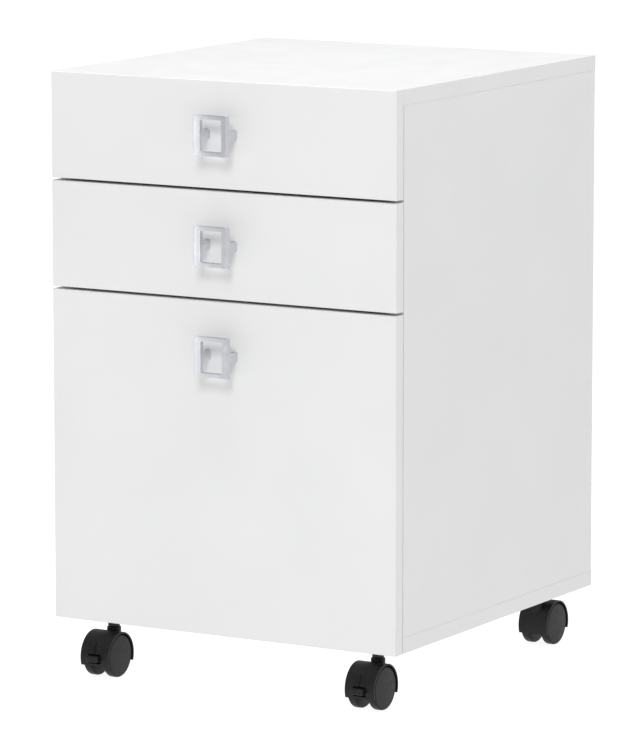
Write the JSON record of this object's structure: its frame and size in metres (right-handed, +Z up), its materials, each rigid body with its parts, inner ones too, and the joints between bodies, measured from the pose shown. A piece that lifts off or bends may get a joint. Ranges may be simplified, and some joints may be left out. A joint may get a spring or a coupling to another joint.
{
  "type": "rolling pedestal cabinet",
  "caption": "Rolling pedestal cabinet with shallow box drawers above a deep file drawer, square ring pulls and hooded twin-wheel swivel casters.",
  "frame": {"origin": "middle of the footprint, on the floor under the caster wheels", "axes": "+X to the cabinet's right seen from the front, drawers open towards -Y, +Z up"},
  "size_m": [0.4064, 0.4541, 0.635],
  "materials": {
    "white_laminate": "satin white melamine laminate on particle board, with matching edge band",
    "drawer_box_board": "matt white foil-wrapped fibreboard",
    "drawer_bottom_board": "matt white-faced hardboard",
    "slide_steel": "zinc-plated rolled steel",
    "fastener_steel": "zinc-plated steel",
    "black_steel": "black-finished steel, satin",
    "dowel_wood": "plain beech",
    "satin_nickel": "satin nickel plating on a casting",
    "rail_aluminium": "mill-finish aluminium angle",
    "hood_plastic": "black moulded nylon, fine spark texture",
    "wheel_plastic": "black moulded nylon, worn tread"
  },
  "bodies": {
    "root": {"back_panel": "white_laminate", "back_panel_screws": "fastener_steel", "bottom_panel": "white_laminate", "cabinet_slide_channels": "slide_steel", "cam_bolts": "fastener_steel", "cam_locks": "fastener_steel", "caster_insert_nuts": "fastener_steel", "caster_stems": "black_steel", "dowels": "dowel_wood", "left_side_panel": "white_laminate", "right_side_panel": "white_laminate", "slide_screws": "fastener_steel", "top_panel": "white_laminate"},
    "top_drawer": {"top_drawer_back": "drawer_box_board", "top_drawer_bottom": "drawer_bottom_board", "top_drawer_fasteners": "fastener_steel", "top_drawer_front": "white_laminate", "top_drawer_left_side": "drawer_box_board", "top_drawer_pull": "satin_nickel", "top_drawer_right_side": "drawer_box_board", "top_drawer_slide_members": "slide_steel"},
    "top_drawer_slides": {"top_drawer_slide_intermediates": "slide_steel"},
    "middle_drawer": {"middle_drawer_back": "drawer_box_board", "middle_drawer_bottom": "drawer_bottom_board", "middle_drawer_fasteners": "fastener_steel", "middle_drawer_front": "white_laminate", "middle_drawer_left_side": "drawer_box_board", "middle_drawer_pull": "satin_nickel", "middle_drawer_right_side": "drawer_box_board", "middle_drawer_slide_members": "slide_steel"},
    "middle_drawer_slides": {"middle_drawer_slide_intermediates": "slide_steel"},
    "file_drawer": {"file_drawer_back": "drawer_box_board", "file_drawer_bottom": "drawer_bottom_board", "file_drawer_fasteners": "fastener_steel", "file_drawer_front": "white_laminate", "file_drawer_hanging_rails": "rail_aluminium", "file_drawer_left_side": "drawer_box_board", "file_drawer_pull": "satin_nickel", "file_drawer_right_side": "drawer_box_board", "file_drawer_slide_members": "slide_steel"},
    "file_drawer_slides": {"file_drawer_slide_intermediates": "slide_steel"},
    "front_left_caster": {"front_left_caster_hood": "hood_plastic", "front_left_caster_axle": "fastener_steel"},
    "front_left_caster_left_wheel": {"front_left_caster_left_wheel": "wheel_plastic"},
    "front_left_caster_right_wheel": {"front_left_caster_right_wheel": "wheel_plastic"},
    "front_left_caster_brake_lever": {"front_left_caster_brake_lever": "hood_plastic"},
    "front_right_caster": {"front_right_caster_hood": "hood_plastic", "front_right_caster_axle": "fastener_steel"},
    "front_right_caster_left_wheel": {"front_right_caster_left_wheel": "wheel_plastic"},
    "front_right_caster_right_wheel": {"front_right_caster_right_wheel": "wheel_plastic"},
    "front_right_caster_brake_lever": {"front_right_caster_brake_lever": "hood_plastic"},
    "rear_left_caster": {"rear_left_caster_hood": "hood_plastic", "rear_left_caster_axle": "fastener_steel"},
    "rear_left_caster_left_wheel": {"rear_left_caster_left_wheel": "wheel_plastic"},
    "rear_left_caster_right_wheel": {"rear_left_caster_right_wheel": "wheel_plastic"},
    "rear_right_caster": {"rear_right_caster_hood": "hood_plastic", "rear_right_caster_axle": "fastener_steel"},
    "rear_right_caster_left_wheel": {"rear_right_caster_left_wheel": "wheel_plastic"},
    "rear_right_caster_right_wheel": {"rear_right_caster_right_wheel": "wheel_plastic"}
  },
  "joints": [
    {"name": "top_drawer_travel", "type": "slide", "parent": "root", "child": "top_drawer", "axis": [0, -1, 0], "range_m": [0, 0.35]},
    {"name": "top_drawer_slides_travel", "type": "slide", "parent": "root", "child": "top_drawer_slides", "axis": [0, -1, 0], "range_m": [0, 0.175]},
    {"name": "middle_drawer_travel", "type": "slide", "parent": "root", "child": "middle_drawer", "axis": [0, -1, 0], "range_m": [0, 0.35]},
    {"name": "middle_drawer_slides_travel", "type": "slide", "parent": "root", "child": "middle_drawer_slides", "axis": [0, -1, 0], "range_m": [0, 0.175]},
    {"name": "file_drawer_travel", "type": "slide", "parent": "root", "child": "file_drawer", "axis": [0, -1, 0], "range_m": [0, 0.35]},
    {"name": "file_drawer_slides_travel", "type": "slide", "parent": "root", "child": "file_drawer_slides", "axis": [0, -1, 0], "range_m": [0, 0.175]},
    {"name": "front_left_caster_swivel", "type": "hinge", "parent": "root", "child": "front_left_caster", "pos_m": [-0.1587, -0.16065, 0.05], "axis": [0, 0, 1], "continuous": true},
    {"name": "front_left_caster_left_wheel_spin", "type": "hinge", "parent": "front_left_caster", "child": "front_left_caster_left_wheel", "pos_m": [-0.17045, -0.17435, 0.0225], "axis": [1, 0, 0], "continuous": true},
    {"name": "front_left_caster_right_wheel_spin", "type": "hinge", "parent": "front_left_caster", "child": "front_left_caster_right_wheel", "pos_m": [-0.14695, -0.17435, 0.0225], "axis": [1, 0, 0], "continuous": true},
    {"name": "front_left_caster_brake_lever_press", "type": "hinge", "parent": "front_left_caster", "child": "front_left_caster_brake_lever", "pos_m": [-0.1587, -0.19065, 0.022], "axis": [1, 0, 0], "range_deg": [0, 15]},
    {"name": "front_right_caster_swivel", "type": "hinge", "parent": "root", "child": "front_right_caster", "pos_m": [0.1587, -0.16065, 0.05], "axis": [0, 0, 1], "continuous": true},
    {"name": "front_right_caster_left_wheel_spin", "type": "hinge", "parent": "front_right_caster", "child": "front_right_caster_left_wheel", "pos_m": [0.14695, -0.17435, 0.0225], "axis": [1, 0, 0], "continuous": true},
    {"name": "front_right_caster_right_wheel_spin", "type": "hinge", "parent": "front_right_caster", "child": "front_right_caster_right_wheel", "pos_m": [0.17045, -0.17435, 0.0225], "axis": [1, 0, 0], "continuous": true},
    {"name": "front_right_caster_brake_lever_press", "type": "hinge", "parent": "front_right_caster", "child": "front_right_caster_brake_lever", "pos_m": [0.1587, -0.19065, 0.022], "axis": [1, 0, 0], "range_deg": [0, 15]},
    {"name": "rear_left_caster_swivel", "type": "hinge", "parent": "root", "child": "rear_left_caster", "pos_m": [-0.1587, 0.18815, 0.05], "axis": [0, 0, 1], "continuous": true},
    {"name": "rear_left_caster_left_wheel_spin", "type": "hinge", "parent": "rear_left_caster", "child": "rear_left_caster_left_wheel", "pos_m": [-0.17045, 0.20185, 0.0225], "axis": [1, 0, 0], "continuous": true},
    {"name": "rear_left_caster_right_wheel_spin", "type": "hinge", "parent": "rear_left_caster", "child": "rear_left_caster_right_wheel", "pos_m": [-0.14695, 0.20185, 0.0225], "axis": [1, 0, 0], "continuous": true},
    {"name": "rear_right_caster_swivel", "type": "hinge", "parent": "root", "child": "rear_right_caster", "pos_m": [0.1587, 0.18815, 0.05], "axis": [0, 0, 1], "continuous": true},
    {"name": "rear_right_caster_left_wheel_spin", "type": "hinge", "parent": "rear_right_caster", "child": "rear_right_caster_left_wheel", "pos_m": [0.14695, 0.20185, 0.0225], "axis": [1, 0, 0], "continuous": true},
    {"name": "rear_right_caster_right_wheel_spin", "type": "hinge", "parent": "rear_right_caster", "child": "rear_right_caster_right_wheel", "pos_m": [0.17045, 0.20185, 0.0225], "axis": [1, 0, 0], "continuous": true}
  ],
  "couplings": [
    {"joint": "top_drawer_slides_travel", "follows": "top_drawer_travel", "ratio": 0.5},
    {"joint": "middle_drawer_slides_travel", "follows": "middle_drawer_travel", "ratio": 0.5},
    {"joint": "file_drawer_slides_travel", "follows": "file_drawer_travel", "ratio": 0.5}
  ]
}
